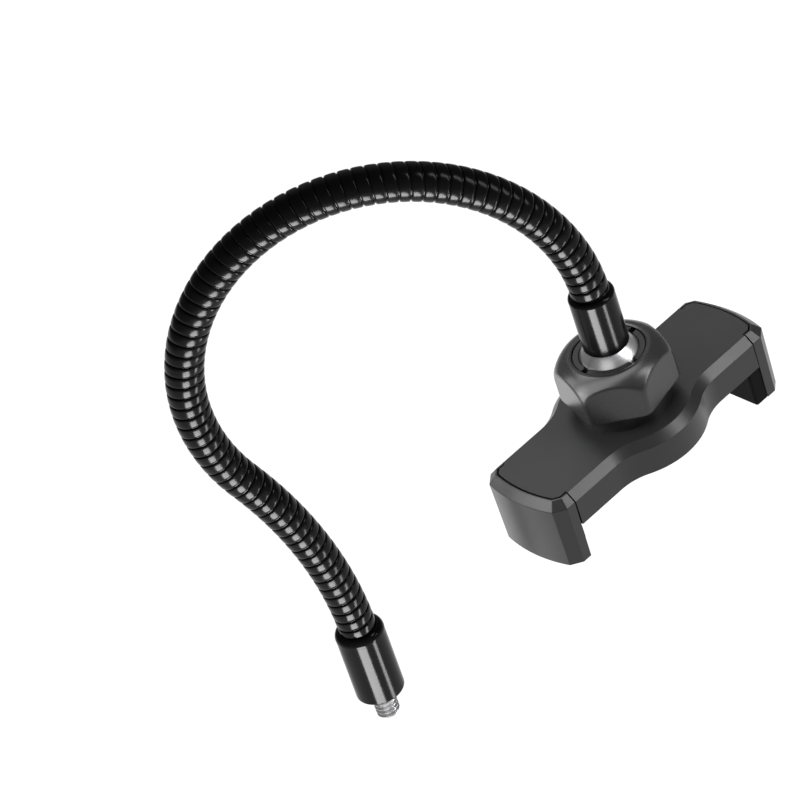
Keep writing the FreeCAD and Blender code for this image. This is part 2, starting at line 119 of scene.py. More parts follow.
# Fineness of the pieces made here
STUD_SIDES = 72
THREAD_STEPS = 116                 # levels along the stud's thread
COIL_STEPS = 20                    # steps round one coil of a spring
WIRE_SIDES = 8
SCREW_SIDES = 32
HALF_FLAT_STEPS = 30               # steps from the middle of the nut's flat to its corner
RAY_HALVINGS = 24                  # halvings that find the nut's surface along a ray

# Pieces that a softbox is kept to
BLACK_ARM = ("wound_neck", "lower_sleeve_soft", "upper_sleeve_soft")
BRIGHT_METAL = ("threaded_stud", "bright_ball")
NUT = ("round_edged_nut",)

# The photograph's square frame
IMAGE_SIDE = 800
SENSOR_WIDTH = 36.0

# The floor and the softbox above the clamp
FLOOR_HALF = 3.0                               # half of the floor's side
FLOOR_BASE = (0.08, 0.08, 0.08)                # dark, so that the softboxes add little to its own glow
FLOOR_ROUGHNESS = 0.9
OVERHEAD_SHIFT = Vector((-0.36, 0.18, 0))      # from the clamp's middle to the left and back


class NeckSettings(bpy.types.PropertyGroup):
    """Sizes of the bendable neck."""

    radius: FloatProperty(
        name="Radius", description="Over the neck's turns", default=0.005, unit="LENGTH"
    )
    turn_pitch: FloatProperty(
        name="Turn pitch", description="Length of one turn along the neck", default=0.0031, unit="LENGTH"
    )
    groove_depth: FloatProperty(
        name="Groove depth", description="Depth of the line between two turns", default=0.00045, unit="LENGTH"
    )
    lean_radius: FloatProperty(
        name="Lean radius", description="Bend of the stem above its foot", default=0.12, unit="LENGTH"
    )
    lean_angle: FloatProperty(
        name="Lean angle", description="How far the stem leans back",
        default=math.radians(28), subtype="ANGLE",
    )
    overlap: FloatProperty(
        name="Overlap", description="Neck hidden in each sleeve", default=0.006, unit="LENGTH"
    )
    sides: IntProperty(name="Sides", description="Steps round the neck", default=60)


class StudSettings(bpy.types.PropertyGroup):
    """Sizes of the threaded stud."""

    radius: FloatProperty(
        name="Radius", description="Over the thread's crests", default=0.003175, unit="LENGTH"
    )
    thread_pitch: FloatProperty(
        name="Thread pitch", description="Twenty turns to the inch", default=0.0254 / 20, unit="LENGTH"
    )
    thread_depth: FloatProperty(
        name="Thread depth", description="Crest to root", default=0.00068, unit="LENGTH"
    )
    tip_bevel: FloatProperty(
        name="Tip bevel", description="Slope round the tip", default=0.0007, unit="LENGTH"
    )
    recess_radius: FloatProperty(
        name="Recess radius", description="Round hole in the tip", default=0.0016, unit="LENGTH"
    )
    recess_depth: FloatProperty(
        name="Recess depth", description="Depth of the hole in the tip", default=0.003, unit="LENGTH"
    )
    flange: FloatProperty(
        name="Flange", description="Thickness of the disc under the sleeve", default=0.002, unit="LENGTH"
    )
    shank_radius: FloatProperty(
        name="Shank radius", description="Part of the stud in the sleeve", default=0.0035, unit="LENGTH"
    )
    edge: FloatProperty(
        name="Edge", description="Rounding of the flange and the recess", default=0.00025, unit="LENGTH"
    )


class ScrewSettings(bpy.types.PropertyGroup):
    """Sizes of the cover screws."""

    head_radius: FloatProperty(
        name="Head radius", description="Of the flush head", default=0.0021, unit="LENGTH"
    )
    head_height: FloatProperty(
        name="Head height", description="Thickness of the head", default=0.0012, unit="LENGTH"
    )
    shank_radius: FloatProperty(
        name="Shank radius", description="Of the part below the head", default=0.0012, unit="LENGTH"
    )
    length: FloatProperty(
        name="Length", description="From the head's face to the tip", default=0.006, unit="LENGTH"
    )
    drive_span: FloatProperty(
        name="Drive span", description="Length of the cross in the head", default=0.0026, unit="LENGTH"
    )
    drive_width: FloatProperty(
        name="Drive width", description="Width of the cross in the head", default=0.0006, unit="LENGTH"
    )
    drive_depth: FloatProperty(
        name="Drive depth", description="Depth of the cross in the head", default=0.0008, unit="LENGTH"
    )
    edge: FloatProperty(
        name="Edge", description="Slope round the head and the tip", default=0.00015, unit="LENGTH"
    )


class SpringSettings(bpy.types.PropertyGroup):
    """Sizes of the jaws' springs."""

    wire: FloatProperty(
        name="Wire", description="Diameter of the wire", default=0.0006, unit="LENGTH"
    )
    solid_length: FloatProperty(
        name="Solid length", description="Length when fully squeezed", default=0.007, unit="LENGTH"
    )


class NutSettings(bpy.types.PropertyGroup):
    """Sizes of the hexagonal nut."""

    flats: FloatProperty(name="Flats", description="Across two flats", default=0.0272, unit="LENGTH")
    heading: FloatProperty(
        name="Heading", description="Turn about its axis", default=math.radians(-46), subtype="ANGLE"
    )
    top_radius: FloatProperty(
        name="Top radius", description="Where the crown meets the level top", default=0.0108, unit="LENGTH"
    )
    lid_slope: FloatProperty(
        name="Lid slope", description="Fall of the crown beside the level top",
        default=math.radians(14), subtype="ANGLE",
    )
    wall_slope: FloatProperty(
        name="Wall slope", description="Fall of the crown at the corners",
        default=math.radians(70), subtype="ANGLE",
    )
    crown_edge: FloatProperty(
        name="Crown edge", description="Rounding between the crown's two slopes", default=0.003, unit="LENGTH"
    )
    skirt_height: FloatProperty(
        name="Skirt height", description="From the foot to the crown at a corner",
        default=0.0076, unit="LENGTH",
    )
    foot_bevel: FloatProperty(
        name="Foot bevel", description="Slope at the foot of the corners", default=0.0006, unit="LENGTH"
    )
    mouth_radius: FloatProperty(
        name="Mouth radius", description="Opening in the top", default=0.0096, unit="LENGTH"
    )
    bore_radius: FloatProperty(
        name="Bore radius", description="Inside, below its taper", default=0.01128, unit="LENGTH"
    )
    taper_height: FloatProperty(
        name="Taper height", description="Part of the bore that closes in", default=0.0034, unit="LENGTH"
    )
    corner_edge: FloatProperty(
        name="Corner edge", description="Rounding between two flats", default=0.0009, unit="LENGTH"
    )
    edge: FloatProperty(
        name="Edge", description="Rounding of the other edges", default=0.0004, unit="LENGTH"
    )


class EdgeSettings(bpy.types.PropertyGroup):
    """Roundings of the pieces that keep their frame's shape."""

    moulding: FloatProperty(
        name="Moulding", description="Rounding of the moulded edges", default=0.00014, unit="LENGTH"
    )
    sleeve: FloatProperty(
        name="Sleeve", description="Rounding of the sleeves' edges", default=0.0003, unit="LENGTH"
    )
    rubber: FloatProperty(
        name="Rubber", description="Rounding of the rubber pads' edges", default=0.0003, unit="LENGTH"
    )


class FinishSettings(bpy.types.PropertyGroup):
    """Colours of the finishes."""

    moulding: FloatVectorProperty(
        name="Moulding", description="Black moulded plastic", subtype="COLOR", default=(0.013, 0.013, 0.0133)
    )
    nut: FloatVectorProperty(
        name="Nut", description="Black nut", subtype="COLOR", default=(0.012, 0.012, 0.0123)
    )
    sleeve: FloatVectorProperty(
        name="Sleeve", description="Gloss black sleeves", subtype="COLOR", default=(0.0025, 0.0025, 0.0028)
    )
    neck: FloatVectorProperty(
        name="Neck", description="Gloss black neck", subtype="COLOR", default=(0.0025, 0.0025, 0.0028)
    )
    ball: FloatVectorProperty(
        name="Ball", description="Bright ball", subtype="COLOR", default=(0.75, 0.75, 0.76)
    )
    steel: FloatVectorProperty(
        name="Steel", description="Bright turned steel", subtype="COLOR", default=(0.75, 0.75, 0.76)
    )
    plating: FloatVectorProperty(
        name="Plating", description="Plated screws and springs", subtype="COLOR", default=(0.6, 0.6, 0.62)
    )
    # Black rubber, set darker than real rubber so that the pads also carry painted shade
    rubber: FloatVectorProperty(
        name="Rubber", description="Matt black rubber", subtype="COLOR", default=(0.005, 0.005, 0.0053)
    )
    floor: FloatVectorProperty(
        name="Floor", description="Pale studio floor", subtype="COLOR", default=(0.92, 0.92, 0.92)
    )


class StageSettings(bpy.types.PropertyGroup):
    """Where the camera stands and how bright the studio is."""

    azimuth: FloatProperty(
        name="Azimuth", description="Camera's turn about Z", default=math.radians(-35.39), subtype="ANGLE"
    )
    elevation: FloatProperty(
        name="Elevation", description="Camera's height", default=math.radians(38.31), subtype="ANGLE"
    )
    roll: FloatProperty(
        name="Roll", description="Tilt of the picture", default=math.radians(17.65), subtype="ANGLE"
    )
    distance: FloatProperty(
        name="Distance", description="From the clamp to the camera", default=1.3587, unit="LENGTH"
    )
    lens: FloatProperty(
        name="Lens", description="Focal length in millimetres", default=243.3, unit="CAMERA"
    )
    aim_pixel: FloatVectorProperty(
        name="Aim pixel", description="Where the clamp's middle shows", size=2, default=(624.18, 399.0)
    )
    floor_drop: FloatProperty(
        name="Floor drop", description="From the stud's tip down to the floor", default=0.45, unit="LENGTH"
    )
    floor_glow: FloatProperty(name="Floor glow", description="Brightness of the floor", default=1.1)
    key_power: FloatProperty(
        name="Key", description="Power of the main softbox", default=3.4, unit="POWER"
    )
    overhead_power: FloatProperty(
        name="Overhead", description="Power of the clamp's overhead softbox", default=12.0, unit="POWER"
    )
    side_power: FloatProperty(
        name="Side", description="Power of the clamp's left softbox", default=3.6, unit="POWER"
    )
    low_power: FloatProperty(
        name="Low", description="Power of the clamp's low softbox", default=0.45, unit="POWER"
    )
    nut_power: FloatProperty(
        name="Nut", description="Power of the nut's left softbox", default=3.0, unit="POWER"
    )
    nut_fill_power: FloatProperty(
        name="Nut fill", description="Power of the nut's right softbox", default=1.0, unit="POWER"
    )
    arm_power: FloatProperty(
        name="Arm", description="Power of the arm's front softbox", default=14.0, unit="POWER"
    )
    arm_rim_power: FloatProperty(
        name="Arm rim", description="Power of the arm's right softbox", default=2.8, unit="POWER"
    )
    front_power: FloatProperty(
        name="Front", description="Power of the bright metal's softbox", default=0.7, unit="POWER"
    )
    back_power: FloatProperty(
        name="Back", description="Power of the back softbox", default=0.42, unit="POWER"
    )
    sky: FloatProperty(name="Sky", description="Brightness of the studio walls", default=0.2)


class SelfieStickSettings(bpy.types.PropertyGroup):
    """Everything a user can change."""

    neck: PointerProperty(type=NeckSettings, name="Neck", description="The bendable neck")
    stud: PointerProperty(type=StudSettings, name="Stud", description="The threaded stud")
    screw: PointerProperty(type=ScrewSettings, name="Screw", description="The cover screws")
    spring: PointerProperty(type=SpringSettings, name="Spring", description="The jaws' springs")
    nut: PointerProperty(type=NutSettings, name="Nut", description="The hexagonal nut")
    edges: PointerProperty(type=EdgeSettings, name="Edges", description="Rounded edges")
    finish: PointerProperty(type=FinishSettings, name="Finish", description="Colours")
    stage: PointerProperty(type=StageSettings, name="Stage", description="Camera, floor and light")


# Node groups that the finishes share

CLOUD_SCALE = 55.0       # clouds of colour and gloss to a metre
CLOUD_DETAIL = 4.0
CLOUD_GLOSS = 0.4        # how far the clouds change the roughness
GRAIN_GLOSS = 0.06       # how far the grain changes the roughness
RING_DETAIL = 3.0
RING_GLOSS = 0.18        # how far a lathe's rings change the roughness
SMUDGE_DETAIL = 5.0
METAL_GRAIN = 0.0006     # size of the grain on bright metal
METAL_MOTTLE = 0.12


def new_group(name, inputs, outputs):
    """An empty shader group with named sockets, given as (label, kind, default) and (label, kind)."""
    tree = bpy.data.node_groups.new(name, "ShaderNodeTree")
    for label, kind, default in inputs:
        socket = tree.interface.new_socket(label, in_out="INPUT", socket_type=kind)
        socket.default_value = default
    for label, kind in outputs:
        tree.interface.new_socket(label, in_out="OUTPUT", socket_type=kind)
    return tree, tree.nodes.new("NodeGroupInput"), tree.nodes.new("NodeGroupOutput")


def math_node(tree, operation, first, second):
    """The result of a calculation on two sockets or numbers."""
    node = tree.nodes.new("ShaderNodeMath")
    node.operation = operation
    for socket, value in zip(node.inputs, (first, second)):
        if isinstance(value, (int, float)):
            socket.default_value = value
        else:
            tree.links.new(value, socket)
    return node.outputs[0]


def noise_node(tree, vector, scale, detail=2.0):
    """Noise along a vector, at a scale that is a socket or a number."""
    node = tree.nodes.new("ShaderNodeTexNoise")
    node.inputs["Detail"].default_value = detail
    tree.links.new(vector, node.inputs["Vector"])
    if isinstance(scale, (int, float)):
        node.inputs["Scale"].default_value = scale
    else:
        tree.links.new(scale, node.inputs["Scale"])
    return node.outputs["Fac"]


def centred(tree, noise):
    """Noise moved to lie round zero."""
    return math_node(tree, "SUBTRACT", noise, 0.5)


def scaled_colour(tree, colour, factor):
    """A colour made lighter or darker by a socket."""
    node = tree.nodes.new("ShaderNodeVectorMath")
    node.operation = "SCALE"
    tree.links.new(colour, node.inputs[0])
    tree.links.new(factor, node.inputs["Scale"])
    return node.outputs["Vector"]


def surface_grain():
    """Fine moulded grain, with slow clouds of colour and gloss."""
    found = bpy.data.node_groups.get("Surface Grain")
    if found:
        return found
    tree, given, result = new_group(
        "Surface Grain",
        [
            ("Colour", "NodeSocketColor", (0.02, 0.02, 0.02, 1)),
            ("Roughness", "NodeSocketFloat", 0.4),
            ("Grain Size", "NodeSocketFloat", 0.0003),
            ("Mottle", "NodeSocketFloat", 0.2),
        ],
        [
            ("Colour", "NodeSocketColor"),
            ("Roughness", "NodeSocketFloat"),
            ("Height", "NodeSocketFloat"),
        ],
    )
    place = tree.nodes.new("ShaderNodeTexCoord").outputs["Object"]
    fine = noise_node(tree, place, math_node(tree, "DIVIDE", 1.0, given.outputs["Grain Size"]))
    clouds = centred(tree, noise_node(tree, place, CLOUD_SCALE, CLOUD_DETAIL))
    shift = math_node(tree, "MULTIPLY", clouds, given.outputs["Mottle"])
    brightness = math_node(tree, "ADD", shift, 1.0)
    gloss = math_node(tree, "MULTIPLY", shift, CLOUD_GLOSS)
    grain = math_node(tree, "MULTIPLY", centred(tree, fine), GRAIN_GLOSS)
    roughness = math_node(tree, "ADD", given.outputs["Roughness"], math_node(tree, "ADD", gloss, grain))
    tree.links.new(scaled_colour(tree, given.outputs["Colour"], brightness), result.inputs["Colour"])
    tree.links.new(roughness, result.inputs["Roughness"])
    tree.links.new(fine, result.inputs["Height"])
    return tree


def turning_marks():
    """Fine rings left by a lathe round an upright axis."""
    found = bpy.data.node_groups.get("Turning Marks")
    if found:
        return found
    tree, given, result = new_group(
        "Turning Marks",
        [
            ("Axis Point", "NodeSocketVector", (0, 0, 0)),
            ("Ring Width", "NodeSocketFloat", 0.0002),
        ],
        [("Height", "NodeSocketFloat"), ("Streak", "NodeSocketFloat")],
    )
    place = tree.nodes.new("ShaderNodeTexCoord").outputs["Object"]
    offset = tree.nodes.new("ShaderNodeVectorMath")
    offset.operation = "SUBTRACT"
    tree.links.new(place, offset.inputs[0])
    tree.links.new(given.outputs["Axis Point"], offset.inputs[1])
    parts = tree.nodes.new("ShaderNodeSeparateXYZ")
    tree.links.new(offset.outputs[0], parts.inputs[0])
    squares = [math_node(tree, "MULTIPLY", parts.outputs[k], parts.outputs[k]) for k in ("X", "Y")]
    radius = math_node(tree, "SQRT", math_node(tree, "ADD", *squares), 0.0)
    ring = tree.nodes.new("ShaderNodeCombineXYZ")
    tree.links.new(radius, ring.inputs["X"])
    tree.links.new(parts.outputs["Z"], ring.inputs["Z"])
    frequency = math_node(tree, "DIVIDE", 1.0, given.outputs["Ring Width"])
    marks = noise_node(tree, ring.outputs[0], frequency, RING_DETAIL)
    tree.links.new(marks, result.inputs["Height"])
    tree.links.new(centred(tree, marks), result.inputs["Streak"])
    return tree


def handling():
    """Faint smudges that dull a gloss here and there."""
    found = bpy.data.node_groups.get("Handling")
    if found:
        return found
    tree, given, result = new_group(
        "Handling",
        [("Amount", "NodeSocketFloat", 0.1), ("Size", "NodeSocketFloat", 0.02)],
        [("Dulling", "NodeSocketFloat")],
    )
    place = tree.nodes.new("ShaderNodeTexCoord").outputs["Object"]
    frequency = math_node(tree, "DIVIDE", 1.0, given.outputs["Size"])
    smudge = noise_node(tree, place, frequency, SMUDGE_DETAIL)
    squared = math_node(tree, "MULTIPLY", smudge, smudge)
    dulling = math_node(tree, "MULTIPLY", squared, given.outputs["Amount"])
    tree.links.new(dulling, result.inputs["Dulling"])
    return tree


def placed_group(material, tree, **values):
    """A shared group in one material, with its own values."""
    node = material.node_tree.nodes.new("ShaderNodeGroup")
    node.node_tree = tree
    for label, value in values.items():
        node.inputs[label.replace("_", " ")].default_value = value
    return node


def opaque(colour):
    """A colour with nothing showing through it."""
    return (*colour, 1.0)


def new_finish(name):
    """An empty material, its surface shader and its link call."""
    material = bpy.data.materials.new(name)
    material.use_nodes = True
    tree = material.node_tree
    return material, tree.nodes["Principled BSDF"], tree.links.new


def add_bump(material, height, distance):
    """Relief of a real height, in metres, on a material's surface."""
    tree = material.node_tree
    bump = tree.nodes.new("ShaderNodeBump")
    bump.inputs["Distance"].default_value = distance
    tree.links.new(height, bump.inputs["Height"])
    tree.links.new(bump.outputs["Normal"], tree.nodes["Principled BSDF"].inputs["Normal"])


def plastic_finish(name, colour, roughness, grain_size, relief, mottle, dulling, specular):
    """Moulded plastic, paint or rubber: grain, clouds and smudges."""
    material, surface, link = new_finish(name)
    surface.inputs["Specular IOR Level"].default_value = specular
    grain = placed_group(
        material, surface_grain(),
        Colour=opaque(colour), Roughness=roughness, Grain_Size=grain_size, Mottle=mottle,
    )
    smudge = placed_group(material, handling(), Amount=dulling)
    dulled = math_node(material.node_tree, "ADD", grain.outputs["Roughness"], smudge.outputs["Dulling"])
    link(grain.outputs["Colour"], surface.inputs["Base Color"])
    link(dulled, surface.inputs["Roughness"])
    add_bump(material, grain.outputs["Height"], relief)
    return material


def metal_finish(name, colour, roughness, axis_point, ring_width, relief, dulling):
    """Turned bright metal: lathe rings and smudges."""
    material, surface, link = new_finish(name)
    surface.inputs["Metallic"].default_value = 1.0
    grain = placed_group(
        material, surface_grain(),
        Colour=opaque(colour), Roughness=roughness, Grain_Size=METAL_GRAIN, Mottle=METAL_MOTTLE,
    )
    rings = placed_group(material, turning_marks(), Axis_Point=axis_point, Ring_Width=ring_width)
    smudge = placed_group(material, handling(), Amount=dulling)
    tree = material.node_tree
    streaks = math_node(tree, "MULTIPLY", rings.outputs["Streak"], RING_GLOSS)
    rough = math_node(tree, "ADD", grain.outputs["Roughness"], streaks)
    link(grain.outputs["Colour"], surface.inputs["Base Color"])
    link(math_node(tree, "ADD", rough, smudge.outputs["Dulling"]), surface.inputs["Roughness"])
    add_bump(material, rings.outputs["Height"], relief)
    return material


def black_moulding(name, colours):
    """Satin moulded plastic of the clamp."""
    return plastic_finish(
        name, colours.moulding, roughness=0.3, grain_size=0.0003, relief=0.000006,
        mottle=0.16, dulling=0.10, specular=0.42,
    )


def black_nut(name, colours):
    """Moulded plastic of the nut, smoother than the clamp's."""
    return plastic_finish(
        name, colours.nut, roughness=0.26, grain_size=0.0003, relief=0.000004,
        mottle=0.16, dulling=0.10, specular=0.5,
    )


def black_neck(name, colours):
    """Gloss coat on the neck's turns."""
    return plastic_finish(
        name, colours.neck, roughness=0.16, grain_size=0.0012, relief=0.000012,
        mottle=0.2, dulling=0.10, specular=0.08,
    )


def black_sleeve(name, colours):
    """Gloss coat on the turned sleeves."""
    return plastic_finish(
        name, colours.sleeve, roughness=0.13, grain_size=0.0015, relief=0.000006,
        mottle=0.2, dulling=0.10, specular=0.08,
    )


def rubber_darkened_as_shade(name, colours):
    """Soft black rubber of the pads, with colour and gloss set darker than real rubber's: partly real rubber,
    partly painted shade.
    """
    # The very dark colour and low specular paint the pads as dark as shade
    return plastic_finish(
        name, colours.rubber, roughness=0.68, grain_size=0.0004, relief=0.00002,
        mottle=0.3, dulling=0.12, specular=0.08,
    )


def bright_ball(name, colours):
    """Satin polish of the ball, with rings round its upright axis."""
    return metal_finish(
        name, colours.ball, roughness=0.3, axis_point=BALL_CENTRE, ring_width=0.00035,
        relief=0.000004, dulling=0.12,
    )


def turned_steel(name, colours):
    """Bright turned steel of the stud."""
    return metal_finish(
        name, colours.steel, roughness=0.24, axis_point=ARM_AXIS, ring_width=0.0002,
        relief=0.000006, dulling=0.10,
    )


def plated_steel(name, colours):
    """Plating of the screws and springs."""
    return metal_finish(
        name, colours.plating, roughness=0.3, axis_point=BALL_CENTRE, ring_width=0.0003,
        relief=0.000003, dulling=0.10,
    )


FINISHES = {
    "black_moulding": black_moulding,
    "black_nut": black_nut,
    "black_neck": black_neck,
    "black_sleeve": black_sleeve,
    "rubber": rubber_darkened_as_shade,
    "bright_ball": bright_ball,
    "bright_steel": turned_steel,
    "plated_steel": plated_steel,
}


def finish(slot):
    """The finish of a record's slot, made when it is first asked for."""
    name = slot + "_finish"
    colours = bpy.context.scene.selfie_stick.finish
    return bpy.data.materials.get(name) or FINISHES[slot](name, colours)


# Pieces


def node_slot(node):
    """The record's material slot of a node."""
    return next(part["material_slot"] for part in frame["record"]["subparts"] if part["node"] == node)


def node_body(node):
    """The body that a node rides on."""
    return frame["nodes"][node]["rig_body"]


def new_piece(name, form, node, ride=True):
    """A finished mesh that stands for a node, with its slot's finish."""
    mesh = bpy.data.meshes.new(name)
    bmesh.ops.recalc_face_normals(form, faces=form.faces)
    form.to_mesh(mesh)
    form.free()
    if "custom_normal" in mesh.attributes:
        mesh.attributes.remove(mesh.attributes["custom_normal"])
    mesh.shade_smooth()
    mesh.set_sharp_from_angle(angle=CREASE_ANGLE)
    piece = bpy.data.objects.new(name, mesh)
    bpy.context.scene.collection.objects.link(piece)
    slot = node_slot(node)
    mesh.materials.clear()
    mesh.materials.append(finish(slot))
    if ride:
        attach(piece, node_body(node))
    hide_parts(node)
    return piece


def welded_form(node):
    """A node's mesh with its corners joined and its level faces made one."""
    form = bmesh.new()
    form.from_mesh(frame["nodes"][node].data)
    bmesh.ops.remove_doubles(form, verts=form.verts, dist=WELD)
    bmesh.ops.dissolve_limit(form, angle_limit=FLAT_ANGLE, verts=form.verts, edges=form.edges)
    return form


def softened_piece(node, edge_radius):
    """A node with its sharp edges rounded."""
    form = welded_form(node)
    sharp = [e for e in form.edges if e.is_manifold and e.calc_face_angle(0.0) > SHARP_ANGLE]
    bmesh.ops.bevel(
        form, geom=sharp, offset=edge_radius, segments=BEVEL_STEPS, profile=ROUND_PROFILE,
        affect="EDGES", clamp_overlap=True,
    )
    piece = new_piece(node + "_soft", form, node)
    evened = piece.modifiers.new("Even Normals", "WEIGHTED_NORMAL")
    evened.keep_sharp = True


def join_rows(form, low, high):
    """Faces between two closed rows of corners."""
    for k in range(len(low)):
        following = (k + 1) % len(low)
        form.faces.new((low[k], low[following], high[following], high[k]))


def add_strip(form, rows):
    """Closed rows of corners, with faces between each row and the next."""
    made = [[form.verts.new(point) for point in row] for row in rows]
    for low, high in zip(made, made[1:]):
        join_rows(form, low, high)
    return made


def round_angles(count):
    """Equal turns round a circle."""
    return [2 * math.pi * k / count for k in range(count)]


def turned_point(radius, angle, height):
    """A point round the upright axis through the origin."""
    return Vector((radius * math.cos(angle), radius * math.sin(angle), height))


def level_ring(radius, height, sides):
    """Points on a level circle round the upright axis through the origin."""
    return [turned_point(radius, angle, height) for angle in round_angles(sides)]


class NeckRoute:
    """The neck's centre line: a gentle lean, then one large arch down into the upper sleeve."""

    def __init__(self, neck):
        reach = Vector((BALL_CENTRE.x, BALL_CENTRE.y, 0))
        self.out = reach.normalized()
        self.across = UP.cross(self.out)
        self.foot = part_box("lower_sleeve")[1].z
        self.lean_radius = neck.lean_radius
        self.lean = neck.lean_angle
        self.lean_length = self.lean_radius * self.lean
        lean_reach = self.lean_radius * (math.cos(self.lean) - 1)
        self.arch_radius = (reach.length - lean_reach) / (1 + math.cos(self.lean))
        self.length = self.lean_length + self.arch_radius * (math.pi + self.lean)

    def place(self, reach, height):
        """A point on the neck's plane."""
        return self.out * reach + UP * height

    def at(self, along):
        """The centre at a length from the lower sleeve, and the heading from straight up."""
        inside = min(max(along, 0.0), self.length)
        lean = min(inside, self.lean_length) / self.lean_radius
        reach = self.lean_radius * (math.cos(lean) - 1)
        height = self.foot + self.lean_radius * math.sin(lean)
        heading = -lean
        if inside > self.lean_length:
            heading = (inside - self.lean_length) / self.arch_radius - self.lean
            reach += self.arch_radius * (math.cos(self.lean) - math.cos(heading))
            height += self.arch_radius * (math.sin(self.lean) + math.sin(heading))
        forward = self.place(math.sin(heading), math.cos(heading))
        return self.place(reach, height) + forward * (along - inside), heading

    def ring_point(self, along, angle, radius):
        """A point on the neck's surface."""
        centre, heading = self.at(along)
        outward = self.place(math.cos(heading), -math.sin(heading))
        return centre + (outward * math.cos(angle) + self.across * math.sin(angle)) * radius


# One turn of the neck, as shares of its pitch and of the groove's depth
TURN_PROFILE = (
    (0.0, 1.0), (0.06, 1.0), (0.085, 0.62), (0.11, 0.36), (0.15, 0.2), (0.22, 0.08),
    (0.34, 0.01), (0.53, 0.0), (0.72, 0.01), (0.84, 0.08), (0.91, 0.2), (0.95, 0.36), (0.975, 0.62),
)


def wound_neck(neck):
    """The neck as one strip wound in a helix, with a narrow groove between its turns."""
    route = NeckRoute(neck)
    start = -neck.overlap
    turns = round(route.length / neck.turn_pitch)
    pitch = route.length / turns
    steps = math.ceil((route.length + 2 * neck.overlap) / pitch) * neck.sides
    hidden_radius = neck.radius - neck.groove_depth

    def corner(step, share, depth):
        along = start + pitch * (step / neck.sides + share)
        radius = neck.radius - neck.groove_depth * depth
        if along < 0 or along > route.length:
            radius = min(radius, hidden_radius)
        return route.ring_point(along, 2 * math.pi * step / neck.sides, radius)

    form = bmesh.new()
    columns = [
        [form.verts.new(corner(step, share, depth)) for share, depth in TURN_PROFILE]
        for step in range(steps)
    ]
    last = len(TURN_PROFILE) - 1
    for step in range(steps - 1):
        here, there = columns[step], columns[step + 1]
        for k in range(last):
            form.faces.new((here[k], there[k], there[k + 1], here[k + 1]))
        above = step + neck.sides
        if above + 1 < steps:
            form.faces.new((here[last], there[last], columns[above + 1][0], columns[above][0]))
    return form, route


def blend_limits(route, neck):
    """Points on the neck's plane between which it turns from the foot to the arm's tip."""
    start, _ = route.at(route.lean_length)
    end, _ = route.at(route.length + neck.overlap)
    sideways = (route.out + UP).normalized()
    return start, start + sideways * ((end - start).dot(sideways) - neck.radius)


# The stud's thread and its ends
FLANK_SLOPE = 1.25       # how steeply a flank falls from crest to root, as a share of the depth
CREST_SHARE = 0.12       # part of the depth that the flat crest takes off
RUNOUT_TURNS = 0.9       # turns over which the thread fades under the flange
EDGE_MIDDLE = 0.3        # where a rounded edge's middle lies, as a share of its radius
PIN_RADIUS = 1e-5        # a ring so small that it closes an end
PIN_WELD = 2e-5


def stud_form(stud):
    """The stud: a helical thread with a bevelled tip and a recess, under the flange in the sleeve."""
    low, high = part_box("mount_stud")
    flange_radius = high.x
    recess_floor = low.z + stud.recess_depth
    runout = stud.thread_pitch * RUNOUT_TURNS

    def threaded(height, angle):
        turn = height / stud.thread_pitch - angle / (2 * math.pi)
        valley = abs(2 * (turn - math.floor(turn)) - 1)
        depth = stud.thread_depth * min(1.0, max(0.0, FLANK_SLOPE * valley - CREST_SHARE))
        depth *= min(1.0, -height / runout)
        return min(stud.radius - depth, stud.radius - stud.tip_bevel + (height - low.z))

    recess = (
        (PIN_RADIUS, recess_floor),
        (stud.recess_radius - stud.edge, recess_floor),
        (stud.recess_radius, recess_floor - stud.edge),
        (stud.recess_radius, low.z + stud.edge),
        (stud.recess_radius + stud.edge, low.z),
    )
    shank = (
        (flange_radius - stud.edge, 0.0),
        (flange_radius - stud.edge * EDGE_MIDDLE, stud.edge * EDGE_MIDDLE),
        (flange_radius, stud.edge),
        (flange_radius, stud.flange),
        (stud.shank_radius, stud.flange),
        (stud.shank_radius, high.z),
        (PIN_RADIUS, high.z),
    )
    rows = [level_ring(radius, height, STUD_SIDES) for radius, height in recess]
    for step in range(THREAD_STEPS + 1):
        height = low.z - low.z * step / THREAD_STEPS
        rows.append([
            turned_point(threaded(height, angle), angle, height) for angle in round_angles(STUD_SIDES)
        ])
    rows += [level_ring(radius, height, STUD_SIDES) for radius, height in shank]
    form = bmesh.new()
    add_strip(form, rows)
    bmesh.ops.remove_doubles(form, verts=form.verts, dist=PIN_WELD)
    return form


def spring_form(node, spring):
    """A round wire coiled along X in the space that a spring node holds."""
    low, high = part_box(node)
    middle = (low + high) / 2
    along = Vector((1, 0, 0))
    wire_radius = spring.wire / 2
    coil_radius = (high.z - low.z - spring.wire) / 2
    reach = high.x - low.x - spring.wire
    coils = spring.solid_length / spring.wire
    steps = round(coils * COIL_STEPS)
    rows = []
    for step in range(steps + 1):
        share = step / steps
        angle = 2 * math.pi * coils * share
        outward = Vector((0, math.cos(angle), math.sin(angle)))
        on_axis = Vector((low.x + wire_radius + reach * share, middle.y, middle.z))
        centre = on_axis + outward * coil_radius
        rows.append([
            centre + (outward * math.cos(a) + along * math.sin(a)) * wire_radius
            for a in round_angles(WIRE_SIDES)
        ])
    form = bmesh.new()
    made = add_strip(form, rows)
    form.faces.new(made[0])
    form.faces.new(made[-1])
    return form


def slope_normal(slope):
    """Direction square to a face that falls outwards, as (out, up)."""
    return Vector((math.sin(slope), math.cos(slope)))


def rounded_meeting(gaps, radius):
    """Distance outside of where several faces meet in a rounded edge, from the distance outside of each."""
    near = [max(gap + radius, 0.0) for gap in gaps]
    return min(max(gaps), -radius) + math.sqrt(sum(gap * gap for gap in near))


